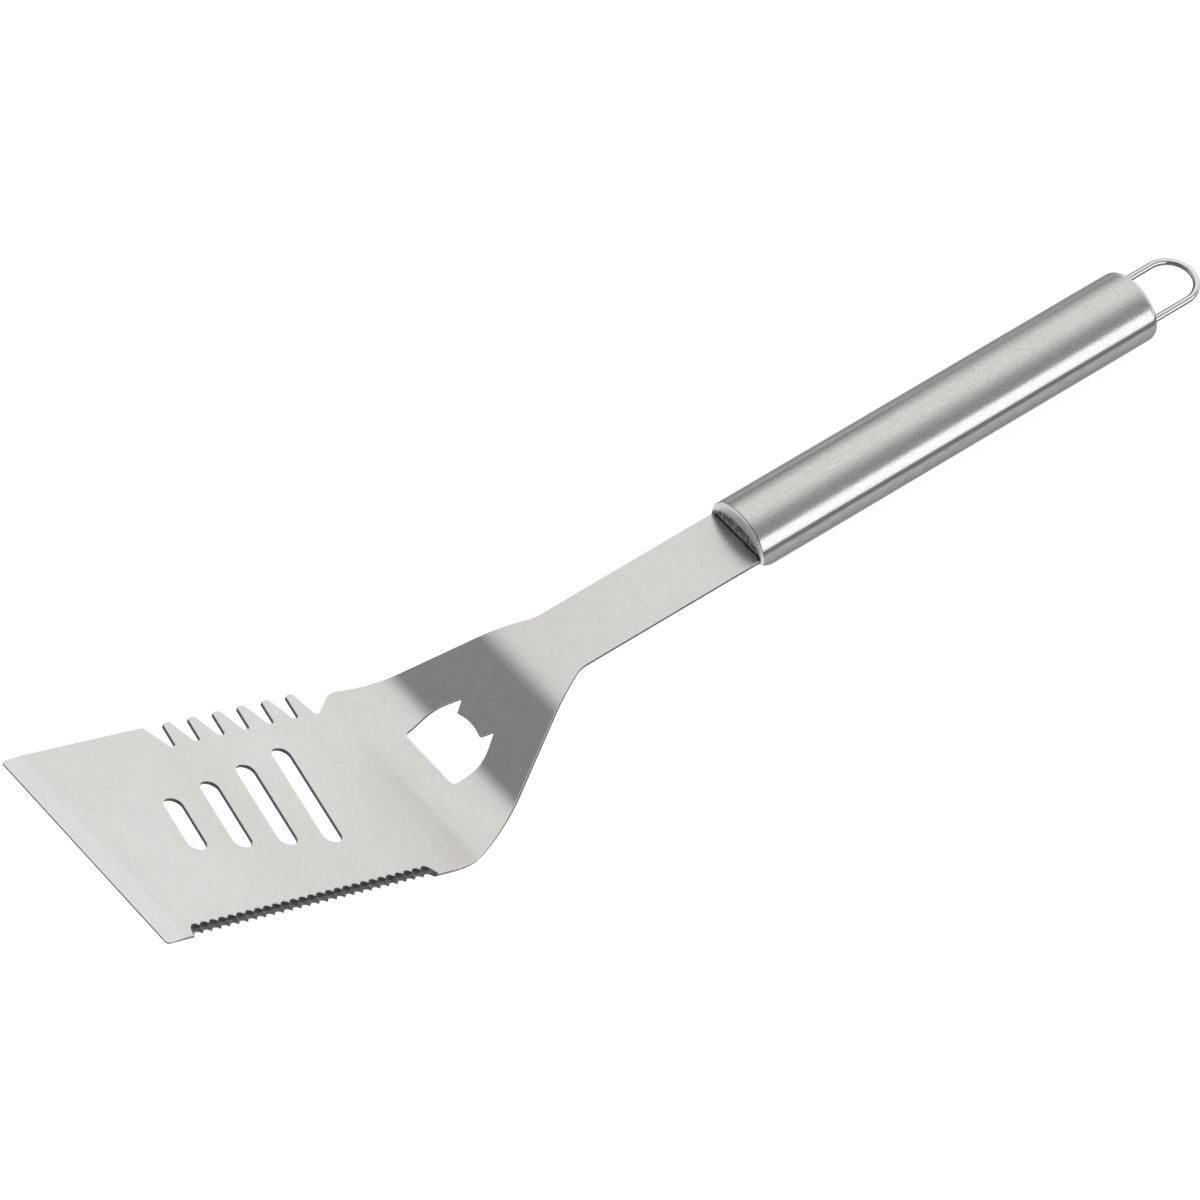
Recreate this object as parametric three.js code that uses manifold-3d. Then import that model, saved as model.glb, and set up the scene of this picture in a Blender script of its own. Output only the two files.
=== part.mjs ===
// Long-handled stainless steel grill spatula, in millimetres, +Z up.
//
// One stamped sheet is the blade, the neck with its bottle opener, the shank and the tang. The tang
// goes through the front cap into a hollow oval handle, and a wire hanging loop leaves the rear cap.
// X runs from the front edge to the loop, +Y is the toothed edge and -Y the serrated edge. The
// spatula lies as it rests on a table: on the underside of its first bend and on the rear of the
// handle. The origin is on the table, below the middle of the bounding box.

import * as THREE from 'three';
import { mergeVertices } from 'three/addons/utils/BufferGeometryUtils.js';
import Module from 'manifold-3d';

const wasm = await Module();
wasm.setup();

const degrees = THREE.MathUtils.degToRad;

// ---- driving dimensions -------------------------------------------------------------------------
// Stations are distances along the flat pattern of the sheet, from the front edge.
const GAP = 0.3;                     // between pieces that touch
const SHEET = 1.5;                   // thickness of the sheet
const BLADE_WIDTH = 90;
const BLADE_LENGTH = 156.5;          // front edge to the corner of the blade and neck planes
const BLADE_PITCH = degrees(27.4);   // the blade rises towards its front edge
const FRONT_CORNER = 1.5;            // radius of the two front corners
const NECK_LENGTH = 52.7;            // from the first corner to the second
const NECK_PITCH = degrees(29.1);
const NECK_TAPER = 0.425;            // how fast each side of the neck closes in
const NECK_FOOT = 214.9;             // station where the neck is as narrow as the shank
const NECK_SHOULDER = 42;            // half width where the neck begins behind the teeth
const SHANK_WIDTH = 25.7;
const SHANK_LENGTH = 85.8;           // from the second corner to the mouth of the handle
const FIRST_BEND = { radius: 28.5, steps: 14 };   // radii of the upper face
const SECOND_BEND = { radius: 38, steps: 8 };
const TANG = { width: 23.4, length: 16, corner: 1.5 };

const GRIND = { width: 8, edge: 0.6 };            // ground strip behind the front edge
const TEETH = { count: 6, first: 73.3, pitch: 11.35, depth: 10.8, tip: 3.3, base: 8.7 };
const REARMOST_FLANK = 3.35;         // from the middle of the rearmost tooth to its rear root
const NOTCH = { front: 62.7, floor: 66.6, rear: 135.3 };   // where the teeth begin and end
const SLOTS = { count: 4, first: 45.5, pitch: 18.5, length: 25, growth: 7.1, width: 7.4 };
const SLOT_SLANT = degrees(13.6);
const SLOT_OFFSET = 0.8;             // the slots sit this far towards the toothed edge
const SCALLOPS = { count: 27, first: 14.7, pitch: 4.025, radius: 4, length: 12, depth: 1.8 };
const SCALLOP_SLOPE = degrees(25);
const OPENER = { front: 156.3, bulge: 168.5, notch: 178.6, lip: 173.8, hollow: 175.8 };

const HANDLE_LENGTH = 177.6;
const HANDLE_WIDTH = 28.2;
const HANDLE_HEIGHT = 24.6;
const HANDLE_WALL = 0.95;
const HANDLE_SIDES = 56;
// The mouth is a flatter opening. The tube's upper half rolls in to it, and its lower half slopes
// up to it over a longer stretch. The front cap fills the opening, whose edge is this thick.
const LIP = { up: 7.6, down: 4.6, roll: 1.3, slope: 7, edge: 0.9 };
const LIP_STATIONS = [0, 0.12, 0.46, 1.3, 2.8, 4.6, 7];
const CAP_THICKNESS = 1.5;
const CAP_RECESS = 0.4;              // from the mouth to the face of the front cap
const SHOULDER_GAP = 0.8;            // between the end of the shank and the front cap
const REAR_CAP = { length: 5, rounding: 3.2 };
const WELD = 1.6;                    // size of the hidden weld beads

const WIRE = 2.6;                    // diameter of the wire of the hanging loop
const LOOP = { radius: 9.7, leg: 15.9, foot: 6, steps: 44, sides: 10 };

// ---- side profile of the sheet ------------------------------------------------------------------
const FIRST_TURN = BLADE_PITCH + NECK_PITCH;
const FIRST_TANGENT = FIRST_BEND.radius * Math.tan(FIRST_TURN / 2);

// The shank drops towards the rear just enough for the handle's rear to touch the table, which is
// level with the underside of the first bend.
function restingShankPitch() {
  const lean = (NECK_PITCH - BLADE_PITCH) / 2;
  const bendCentre = FIRST_BEND.radius + SHEET;
  const firstCorner = bendCentre - (FIRST_BEND.radius / Math.cos(FIRST_TURN / 2)) * Math.cos(lean);
  const secondCorner = firstCorner + NECK_LENGTH * Math.sin(NECK_PITCH);
  const reach = SHANK_LENGTH + HANDLE_LENGTH - REAR_CAP.rounding;
  const drop = (HANDLE_HEIGHT + SHEET) / 2;
  return Math.asin(secondCorner / Math.hypot(reach, drop)) - Math.atan2(drop, reach);
}

const SHANK_PITCH = restingShankPitch();
const SECOND_TURN = NECK_PITCH + SHANK_PITCH;
const SECOND_TANGENT = SECOND_BEND.radius * Math.tan(SECOND_TURN / 2);

// The straight and bent stretches of the upper face, in order; the last one has no end.
const STRETCHES = [
  { length: BLADE_LENGTH - FIRST_TANGENT, turn: 0, steps: 1 },
  { length: FIRST_BEND.radius * FIRST_TURN, turn: FIRST_TURN, steps: FIRST_BEND.steps },
  { length: NECK_LENGTH - FIRST_TANGENT - SECOND_TANGENT, turn: 0, steps: 1 },
  { length: SECOND_BEND.radius * SECOND_TURN, turn: -SECOND_TURN, steps: SECOND_BEND.steps },
];
const SHANK_START = STRETCHES.reduce((sum, stretch) => sum + stretch.length, 0);
const MOUTH = SHANK_START + SHANK_LENGTH - SECOND_TANGENT;

// Where the upper face is at a station, and which way it heads.
function profileAt(station) {
  const place = { x: 0, z: 0, heading: -BLADE_PITCH };
  let left = station;
  for (const { length, turn } of [...STRETCHES, { length: Infinity, turn: 0 }]) {
    const run = Math.min(left, length);
    const heading = place.heading + (turn * run) / length;
    if (turn === 0) {
      place.x += run * Math.cos(heading);
      place.z += run * Math.sin(heading);
    } else {
      const radius = length / turn;
      place.x += radius * (Math.sin(heading) - Math.sin(place.heading));
      place.z -= radius * (Math.cos(heading) - Math.cos(place.heading));
    }
    place.heading = heading;
    left -= run;
  }
  return place;
}

// The stations at which the flat sheet is creased to follow the two bends.
function creaseStations() {
  const stations = [];
  let start = 0;
  for (const { length, turn, steps } of STRETCHES) {
    for (let step = 0; turn !== 0 && step <= steps; step += 1) {
      stations.push(start + (length * step) / steps);
    }
    start += length;
  }
  return stations;
}

// ---- solids and geometries ----------------------------------------------------------------------
function solidOf(geometry) {
  const bare = geometry.clone();
  bare.deleteAttribute('normal');
  bare.deleteAttribute('uv');
  const merged = mergeVertices(bare);
  return new wasm.Manifold(new wasm.Mesh({
    numProp: 3,
    vertProperties: new Float32Array(merged.attributes.position.array),
    triVerts: new Uint32Array(merged.index.array),
  }));
}

function geometryOf(solid) {
  const { vertProperties, triVerts } = solid.getMesh();
  const geometry = new THREE.BufferGeometry();
  geometry.setAttribute('position', new THREE.BufferAttribute(vertProperties, 3));
  geometry.setIndex(new THREE.BufferAttribute(triVerts, 1));
  return geometry;
}

function cut(solid, cutters) {
  return geometryOf(cutters.reduce((rest, cutter) => rest.subtract(solidOf(cutter)), solid));
}

// Extrudes a shape drawn in X and Z along Y, centred on the XZ plane.
function extrudeAcross(shape, width) {
  const geometry = new THREE.ExtrudeGeometry(shape, { depth: width, bevelEnabled: false });
  return geometry.rotateX(Math.PI / 2).translate(0, width / 2, 0);
}

// Turns a profile of [half width, x, half height up, half height down] about the X axis as ovals.
// Where no half height is given, the oval has the handle's own shape.
function ovalTurning(profile) {
  const points = profile.map(([halfWidth, x]) => new THREE.Vector2(halfWidth, x));
  const geometry = new THREE.LatheGeometry(points, HANDLE_SIDES).rotateZ(-Math.PI / 2);
  const { position } = geometry.attributes;
  for (let i = 0; i < position.count; i += 1) {
    const [halfWidth, , up, down] = profile[i % profile.length];
    const halfHeight = position.getZ(i) > 0 ? up : down;
    const squash = halfHeight ? halfHeight / halfWidth : HANDLE_HEIGHT / HANDLE_WIDTH;
    position.setZ(i, position.getZ(i) * squash);
  }
  return geometry;
}

// The points of a closed outline given by its corners [x, y, radius], each rounded with an arc.
function roundedOutline(corners) {
  return corners.flatMap(([x, y, radius], i) => {
    const corner = new THREE.Vector2(x, y);
    const back = new THREE.Vector2(...corners.at(i - 1)).sub(corner).normalize();
    const ahead = new THREE.Vector2(...corners[(i + 1) % corners.length]).sub(corner).normalize();
    const half = Math.acos(back.dot(ahead)) / 2;
    const middle = back.clone().add(ahead).setLength(radius / Math.sin(half));
    const spoke = back.clone().multiplyScalar(radius / Math.tan(half)).sub(middle);
    const sweep = -Math.sign(back.cross(ahead)) * (Math.PI - 2 * half);
    const steps = Math.ceil(Math.abs(sweep) / degrees(20));
    return Array.from({ length: steps + 1 }, (_, step) => spoke.clone()
      .rotateAround(new THREE.Vector2(), (sweep * step) / steps)
      .add(middle)
      .add(corner));
  });
}

// ---- the stamped sheet --------------------------------------------------------------------------
function taperStation(halfWidth) {
  return NECK_FOOT - (halfWidth - SHANK_WIDTH / 2) / NECK_TAPER;
}

// The teeth and the notch floors beside them, from the neck towards the front edge.
function toothCorners() {
  const crest = BLADE_WIDTH / 2;
  const root = crest - TEETH.depth;
  const teeth = Array.from({ length: TEETH.count }, (_, i) => {
    const middle = TEETH.first + (TEETH.count - 1 - i) * TEETH.pitch;
    return [
      [middle + (i === 0 ? REARMOST_FLANK : TEETH.base / 2), root, 1.2],
      [middle + TEETH.tip / 2, crest, 1.4],
      [middle - TEETH.tip / 2, crest, 1.4],
      [middle - TEETH.base / 2, root, 1.2],
    ];
  });
  return [
    [NOTCH.rear, root, 1.2],
    ...teeth.flat(),
    [NOTCH.floor, root, 1],
    [NOTCH.front, crest, 1],
  ];
}

function sheetOutline() {
  const edge = BLADE_WIDTH / 2;
  const shank = SHANK_WIDTH / 2;
  const tang = TANG.width / 2;
  const shoulder = MOUTH + CAP_RECESS - SHOULDER_GAP;
  const tangEnd = shoulder + TANG.length;
  return roundedOutline([
    [0, -edge, FRONT_CORNER],
    [taperStation(edge), -edge, 40],
    [NECK_FOOT, -shank, 12],
    [shoulder, -shank, GAP],
    [shoulder, -tang, GAP],
    [tangEnd, -tang, TANG.corner],
    [tangEnd, tang, TANG.corner],
    [shoulder, tang, GAP],
    [shoulder, shank, GAP],
    [NECK_FOOT, shank, 12],
    [taperStation(NECK_SHOULDER), NECK_SHOULDER, 7],
    ...toothCorners(),
    [0, edge, FRONT_CORNER],
  ]);
}

// The bottle opener: a hole with bulging sides and two pointed notches beside a hollow lip.
function openerOutline() {
  const side = [
    [OPENER.front, 13.2, 1.8],
    [OPENER.bulge, 14.1, 18],
    [OPENER.notch, 8.7, 0.7],
    [OPENER.lip, 6.1, 0.6],
  ];
  const mirrored = side.map(([x, y, radius]) => [x, -y, radius]);
  return roundedOutline([...side, [OPENER.hollow, 0, 17], ...mirrored.reverse()]);
}

// A drain slot with round ends; the slots get longer towards the handle.
function slotPath(i) {
  const middle = new THREE.Vector2(SLOTS.first + i * SLOTS.pitch, SLOT_OFFSET);
  const direction = Math.PI / 2 - SLOT_SLANT;
  const reach = (SLOTS.length + i * SLOTS.growth - SLOTS.width) / 2;
  const path = new THREE.Path();
  for (const end of [direction, direction + Math.PI]) {
    const x = middle.x + reach * Math.cos(end);
    const y = middle.y + reach * Math.sin(end);
    path.absarc(x, y, SLOTS.width / 2, end - Math.PI / 2, end + Math.PI / 2);
  }
  path.closePath();
  return path;
}

// The wedge that the front edge loses to its grinding, above a thinner edge.
function frontGrind() {
  const fall = (SHEET - GRIND.edge) / GRIND.width;
  const shape = new THREE.Shape([
    new THREE.Vector2(-1, GRIND.edge - fall),
    new THREE.Vector2(GRIND.width, SHEET),
    new THREE.Vector2(GRIND.width, 2 * SHEET),
    new THREE.Vector2(-1, 2 * SHEET),
  ]);
  return extrudeAcross(shape, BLADE_WIDTH + 2);
}

// One scallop of the serrated edge: a round cutter that slopes down and out through the edge.
function scallop(i) {
  const { radius, length } = SCALLOPS;
  const rise = radius * Math.cos(SCALLOP_SLOPE);
  const lean = radius * Math.sin(SCALLOP_SLOPE);
  return new THREE.CylinderGeometry(radius, radius, length, 32)
    .rotateX(SCALLOP_SLOPE)
    .translate(SCALLOPS.first + i * SCALLOPS.pitch, SCALLOPS.depth - BLADE_WIDTH / 2 - lean, rise);
}

function flatSheet() {
  const shape = new THREE.Shape(sheetOutline());
  shape.holes.push(new THREE.Path(openerOutline()));
  for (let i = 0; i < SLOTS.count; i += 1) shape.holes.push(slotPath(i));
  const options = { depth: SHEET, bevelEnabled: false, curveSegments: 5 };
  return new THREE.ExtrudeGeometry(shape, options);
}

// The stretch of the flat sheet between two stations.
function stripOf(sheet, start, end) {
  const width = BLADE_WIDTH;
  const outline = [[start, -width], [end, -width], [end, width], [start, width]];
  const shape = new THREE.Shape(outline.map(([x, y]) => new THREE.Vector2(x, y)));
  const slab = new THREE.ExtrudeGeometry(shape, { depth: 4 * SHEET, bevelEnabled: false });
  return geometryOf(sheet.intersect(solidOf(slab.translate(0, 0, -SHEET))));
}

// Lays a strip of the flat sheet along the side profile.
function bend(strip) {
  const { position } = strip.attributes;
  for (let i = 0; i < position.count; i += 1) {
    const place = profileAt(position.getX(i));
    const depth = SHEET - position.getZ(i);
    position.setX(i, place.x + depth * Math.sin(place.heading));
    position.setZ(i, place.z - depth * Math.cos(place.heading));
  }
  return strip;
}

// The flat sheet is cut at its creases, and the strips are bent and joined again.
function bentSheet() {
  const sheet = solidOf(flatSheet());
  const stations = [-1, ...creaseStations(), 2 * MOUTH];
  const strips = stations.slice(1).map((end, i) => solidOf(bend(stripOf(sheet, stations[i], end))));
  return strips.reduce((joined, strip) => joined.add(strip));
}

// The bent sheet with its front edge ground and its near edge serrated.
function bladeSheet() {
  const scallops = Array.from({ length: SCALLOPS.count }, (_, i) => scallop(i));
  const cutters = [frontGrind(), ...scallops].map((cutter) => (
    cutter.translate(0, 0, -SHEET).rotateY(BLADE_PITCH)
  ));
  return cut(bentSheet(), cutters);
}

// ---- the handle, along +X from its mouth at x = 0 -----------------------------------------------
// A ring of the tube near its mouth, as [half width, x, half height up, half height down].
function lipRing(x, full, wall) {
  const rolled = Math.sqrt(1 - (1 - Math.min(x / LIP.roll, 1)) ** 2);
  const sloped = Math.sin((Math.PI / 2) * Math.min(x / LIP.slope, 1));
  return [
    HANDLE_WIDTH / 2 - HANDLE_WALL + wall * rolled,
    x,
    LIP.up + (full - LIP.up) * rolled,
    LIP.down + (full - LIP.down) * sloped,
  ];
}

function handleTube() {
  const outer = HANDLE_WIDTH / 2;
  const inner = outer - HANDLE_WALL;
  const innerHeight = (inner * HANDLE_HEIGHT) / HANDLE_WIDTH;
  const end = HANDLE_LENGTH - REAR_CAP.length - GAP;
  const outside = LIP_STATIONS.map((x) => lipRing(x, HANDLE_HEIGHT / 2, HANDLE_WALL));
  const inside = LIP_STATIONS.map((x) => {
    const [halfWidth, , up, down] = lipRing(x, innerHeight, 0);
    return [halfWidth, x + LIP.edge, up, down];
  });
  return ovalTurning([...outside, [outer, end], [inner, end], ...inside.reverse(), outside[0]]);
}

// The front cap fills the opening of the mouth; the tang goes through its slot.
function frontCap() {
  const across = HANDLE_WIDTH / 2 - HANDLE_WALL - GAP;
  const quarter = Math.PI / 2;
  const shape = new THREE.Shape()
    .absellipse(0, 0, LIP.down - GAP, across, -quarter, quarter)
    .absellipse(0, 0, LIP.up - GAP, across, quarter, 3 * quarter);
  const slotX = SHEET / 2 + GAP;
  const slotY = TANG.width / 2 + GAP;
  shape.holes.push(new THREE.Path([
    new THREE.Vector2(-slotX, -slotY),
    new THREE.Vector2(slotX, -slotY),
    new THREE.Vector2(slotX, slotY),
    new THREE.Vector2(-slotX, slotY),
  ]));
  const options = { depth: CAP_THICKNESS, bevelEnabled: false, curveSegments: HANDLE_SIDES / 4 };
  return new THREE.ExtrudeGeometry(shape, options).rotateY(Math.PI / 2);
}

// The rear cap is a pressed cup, flush with the tube, with a hole for each leg of the loop.
function rearCap() {
  const outer = HANDLE_WIDTH / 2;
  const start = HANDLE_LENGTH - REAR_CAP.length;
  const arc = (radius, x, r) => [0, 22.5, 45, 67.5, 90].map((angle) => [
    radius - r + r * Math.cos(degrees(angle)),
    x - r + r * Math.sin(degrees(angle)),
  ]);
  const innerRounding = REAR_CAP.rounding - HANDLE_WALL;
  const insideArc = arc(outer - HANDLE_WALL, HANDLE_LENGTH - HANDLE_WALL, innerRounding);
  const outsideArc = arc(outer, HANDLE_LENGTH, REAR_CAP.rounding);
  const cup = ovalTurning([
    [0, HANDLE_LENGTH - HANDLE_WALL],
    ...insideArc.reverse(),
    [outer - HANDLE_WALL, start],
    [outer, start],
    ...outsideArc,
    [0, HANDLE_LENGTH],
  ]);
  const holes = [-LOOP.radius, LOOP.radius].map((y) => (
    new THREE.CylinderGeometry(WIRE / 2 + GAP, WIRE / 2 + GAP, 4 * REAR_CAP.length, 16)
      .rotateZ(Math.PI / 2)
      .translate(HANDLE_LENGTH, y, 0)
  ));
  return cut(solidOf(cup), holes);
}

// The middle of the wire: a leg, a half circle and the other leg, with x = 0 at the handle's end.
class LoopCurve extends THREE.Curve {
  getPoint(t, target = new THREE.Vector3()) {
    const leg = LOOP.foot + LOOP.leg;
    const bend = Math.PI * LOOP.radius;
    const run = t * (2 * leg + bend);
    const turn = THREE.MathUtils.clamp((run - leg) / LOOP.radius, 0, Math.PI);
    const onLeg = Math.min(run, leg) - Math.max(run - leg - bend, 0) - LOOP.foot;
    return target.set(onLeg + LOOP.radius * Math.sin(turn), LOOP.radius * Math.cos(turn), 0);
  }
}

function hangingLoop() {
  const section = new THREE.Shape(Array.from({ length: LOOP.sides }, (_, i) => {
    const angle = (2 * Math.PI * i) / LOOP.sides;
    return new THREE.Vector2(Math.cos(angle), Math.sin(angle)).multiplyScalar(WIRE / 2);
  }));
  const options = { steps: LOOP.steps, extrudePath: new LoopCurve() };
  return new THREE.ExtrudeGeometry(section, options);
}

// A fillet weld along the tang, behind the front cap.
function tangWeld() {
  const shape = new THREE.Shape().moveTo(0, 0).absarc(0, 0, WELD, 0, Math.PI / 2);
  return extrudeAcross(shape, TANG.width - 2 * GAP);
}

// A collar of weld around a leg of the loop, inside the rear cap.
function loopWeld() {
  const bore = WIRE / 2 + GAP;
  const outside = bore + WELD / 2;
  const profile = [[bore, -WELD], [outside, -GAP], [outside, 0], [bore, 0], [bore, -WELD]];
  const points = profile.map(([radius, x]) => new THREE.Vector2(radius, x));
  return new THREE.LatheGeometry(points, 16).rotateZ(-Math.PI / 2);
}

// ---- assembly -----------------------------------------------------------------------------------
function piece(name, geometry, color, roughness) {
  const material = new THREE.MeshStandardMaterial({ color, roughness, metalness: 1 });
  const mesh = new THREE.Mesh(geometry, material);
  mesh.name = name;
  return mesh;
}

function handleGroup() {
  const mouth = profileAt(MOUTH);
  const handle = new THREE.Group();
  handle.rotation.y = -mouth.heading;
  handle.position.set(
    mouth.x + (SHEET / 2) * Math.sin(mouth.heading),
    0,
    mouth.z - (SHEET / 2) * Math.cos(mouth.heading),
  );
  const frontCapMesh = piece('front_cap', frontCap(), 0x77767a, 0.5);
  frontCapMesh.position.x = CAP_RECESS;
  const loop = piece('hanging_loop', hangingLoop(), 0xe2e2e2, 0.08);
  loop.position.x = HANDLE_LENGTH;
  handle.add(
    piece('handle_tube', handleTube(), 0xa6a3a0, 0.28),
    frontCapMesh,
    piece('rear_cap', rearCap(), 0xa6a3a0, 0.28),
    loop,
  );
  for (const [name, turn] of [['tang_weld_upper', 0], ['tang_weld_lower', Math.PI]]) {
    const weld = piece(name, tangWeld(), 0x8c8984, 0.6);
    const side = Math.cos(turn);
    weld.rotation.x = turn;
    weld.position.set(CAP_RECESS + CAP_THICKNESS + GAP, 0, side * (SHEET / 2 + GAP));
    handle.add(weld);
  }
  for (const [name, side] of [['loop_weld_left', 1], ['loop_weld_right', -1]]) {
    const weld = piece(name, loopWeld(), 0x8c8984, 0.6);
    weld.position.set(HANDLE_LENGTH - HANDLE_WALL - GAP, side * LOOP.radius, 0);
    handle.add(weld);
  }
  return handle;
}

function spatula() {
  const assembly = new THREE.Group();
  assembly.add(piece('blade_sheet', bladeSheet(), 0xcfccc8, 0.38), handleGroup());
  assembly.updateMatrixWorld(true);
  const box = new THREE.Box3().setFromObject(assembly, true);
  const middle = box.getCenter(new THREE.Vector3());
  assembly.position.set(-middle.x, -middle.y, -box.min.z);
  return assembly;
}

export default spatula();
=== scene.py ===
"""Long-handled steel grill spatula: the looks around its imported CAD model, in metres, +Z up.

One bent sheet is the blade, neck, shank and tang. The oval handle is a tube with a front cap and a
rear cap, and a wire loop hangs from its rear. Flat work is drawn in stations along the sheet and
in Y, and then laid along the sheet's side profile. All the driving sizes are in millimetres.
"""

import math

import bmesh
import bpy
import numpy as np
from mathutils import Matrix, Quaternion, Vector

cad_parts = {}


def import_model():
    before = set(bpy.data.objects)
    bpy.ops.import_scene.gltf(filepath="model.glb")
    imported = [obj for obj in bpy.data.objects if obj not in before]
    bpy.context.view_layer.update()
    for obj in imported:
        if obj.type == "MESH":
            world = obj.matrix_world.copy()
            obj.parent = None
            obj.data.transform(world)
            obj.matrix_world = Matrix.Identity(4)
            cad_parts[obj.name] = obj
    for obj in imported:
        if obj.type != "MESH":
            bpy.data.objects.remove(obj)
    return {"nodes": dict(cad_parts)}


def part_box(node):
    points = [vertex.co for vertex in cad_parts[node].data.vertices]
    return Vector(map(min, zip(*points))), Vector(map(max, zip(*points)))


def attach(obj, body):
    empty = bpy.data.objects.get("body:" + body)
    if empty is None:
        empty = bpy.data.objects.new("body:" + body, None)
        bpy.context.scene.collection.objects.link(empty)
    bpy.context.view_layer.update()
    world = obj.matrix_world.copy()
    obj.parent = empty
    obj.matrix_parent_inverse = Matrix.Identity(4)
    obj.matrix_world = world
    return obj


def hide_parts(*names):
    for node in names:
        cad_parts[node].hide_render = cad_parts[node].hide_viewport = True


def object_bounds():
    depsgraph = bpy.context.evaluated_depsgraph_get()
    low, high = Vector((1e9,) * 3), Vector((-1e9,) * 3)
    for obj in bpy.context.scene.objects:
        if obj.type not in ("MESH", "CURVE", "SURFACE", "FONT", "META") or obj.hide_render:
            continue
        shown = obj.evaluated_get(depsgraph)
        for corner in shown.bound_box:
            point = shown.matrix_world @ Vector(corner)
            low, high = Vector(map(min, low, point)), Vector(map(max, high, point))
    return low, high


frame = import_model()
CAD_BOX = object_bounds()

MM = 0.001
BODY = "root"
CUT, GROUND, LIP_FACE = 1, 2, 1

# ---- driving sizes, in millimetres -------------------------------------------------------------
GAP = 0.3
SHEET = 1.5
EDGE_ROUNDING = 0.16
BLADE_WIDTH = 90
BLADE_LENGTH = 156.5
BLADE_PITCH = math.radians(27.4)
NECK_LENGTH = 52.7
NECK_PITCH = math.radians(29.1)
NECK_TAPER = 0.425
NECK_FOOT = 214.9
NECK_SHOULDER = 42
FRONT_CORNER = 1.5
NECK_START_ROUNDING = {"near": 40, "far": 7}
NECK_END_ROUNDING = 12
SHANK_WIDTH = 25.7
SHANK_LENGTH = 85.8
FIRST_BEND = 28.5
SECOND_BEND = 38
BEND_STEP = 0.9
TANG_WIDTH = 23.4
TANG_LENGTH = 16
TANG_CORNER = 1.5
GRIND_WIDTH = 8
GRIND_EDGE = 0.6
TEETH = {"count": 6, "first": 73.3, "pitch": 11.35, "depth": 10.8, "tip": 3.3, "base": 8.7}
REARMOST_FLANK = 3.35
TOOTH_ROUNDING = {"tip": 1.4, "root": 1.2, "notch": 1}
NOTCH = {"front": 62.7, "floor": 66.6, "rear": 135.3}
SLOTS = {"count": 4, "first": 45.5, "pitch": 18.5, "length": 25, "growth": 7.1, "width": 7.4}
SLOT_SLANT = math.radians(13.6)
SLOT_OFFSET = 0.8
SCALLOPS = {"count": 27, "first": 14.7, "pitch": 4.025, "radius": 4, "depth": 1.8}
SCALLOP_SLOPE = math.radians(25)
SCALLOP_SAMPLES = 10
SCALLOP_REACH = 3.5
OPENER_SIDE = [(156.3, 13.2, 1.8), (168.5, 14.1, 18), (178.6, 8.7, 0.7), (173.8, 6.1, 0.6)]
OPENER_HOLLOW = (175.8, 0, 17)

HANDLE_LENGTH = 177.6
HANDLE_WIDTH = 28.2
HANDLE_HEIGHT = 24.6
HANDLE_WALL = 0.95
HANDLE_SIDES = 160
LIP = {"up": 7.6, "down": 4.6, "roll": 1.3, "slope": 7, "edge": 0.9}
CAP_THICKNESS = 1.5
CAP_RECESS = 0.4
CAP_ROUNDING = 0.12
CAP_SLOT_GAP = 0.65
SHOULDER_GAP = 0.8
REAR_CAP_LENGTH = 5
REAR_ROUNDING = 3.2
SEAM = 0.01
WIRE = 2.5
WIRE_SIDES = 28
WIRE_END = 0.3
LEG_HOLE = 2.74
LOOP_RADIUS = 9.7
LOOP_LEG = 15.9
LOOP_FOOT = 6
SHARP = math.radians(50)

# ---- camera --------------------------------------------------------------------------------------
CAMERA_AZIMUTH = math.radians(-40.13)
CAMERA_ELEVATION = math.radians(53.0)
CAMERA_ROLL = math.radians(2.21)
CAMERA_DISTANCE = 2.842
CAMERA_TARGET = CAD_BOX[0] + Vector((0.2098, 0.0419, 0.0374))
CAMERA_LENS = 256.2
CAMERA_SENSOR = 36


# ---- side profile of the sheet -------------------------------------------------------------------
FIRST_TURN = BLADE_PITCH + NECK_PITCH
FIRST_TANGENT = FIRST_BEND * math.tan(FIRST_TURN / 2)


def resting_shank_pitch():
    """How much the shank drops so that the handle's rear touches the table."""
    lean = (NECK_PITCH - BLADE_PITCH) / 2
    first_corner = FIRST_BEND + SHEET - FIRST_BEND / math.cos(FIRST_TURN / 2) * math.cos(lean)
    second_corner = first_corner + NECK_LENGTH * math.sin(NECK_PITCH)
    reach = SHANK_LENGTH + HANDLE_LENGTH - REAR_ROUNDING
    drop = (HANDLE_HEIGHT + SHEET) / 2
    return math.asin(second_corner / math.hypot(reach, drop)) - math.atan2(drop, reach)


SHANK_PITCH = resting_shank_pitch()
SECOND_TURN = NECK_PITCH + SHANK_PITCH
SECOND_TANGENT = SECOND_BEND * math.tan(SECOND_TURN / 2)
STRETCHES = [
    (BLADE_LENGTH - FIRST_TANGENT, 0),
    (FIRST_BEND * FIRST_TURN, FIRST_TURN),
    (NECK_LENGTH - FIRST_TANGENT - SECOND_TANGENT, 0),
    (SECOND_BEND * SECOND_TURN, -SECOND_TURN),
]
MOUTH = sum(length for length, _ in STRETCHES) + SHANK_LENGTH - SECOND_TANGENT


def profile_at(station):
    """Where the upper face is at a station, as x and z, and which way it heads."""
    x, z, heading, left = 0.0, 0.0, -BLADE_PITCH, station
    for length, turn in [*STRETCHES, (math.inf, 0)]:
        run = min(left, length)
        if turn == 0:
            x += run * math.cos(heading)
            z += run * math.sin(heading)
        else:
            radius = length / turn
            ahead = heading + turn * run / length
            x += radius * (math.sin(ahead) - math.sin(heading))
            z -= radius * (math.cos(ahead) - math.cos(heading))
            heading = ahead
        left -= run
    return x, z, heading


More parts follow.
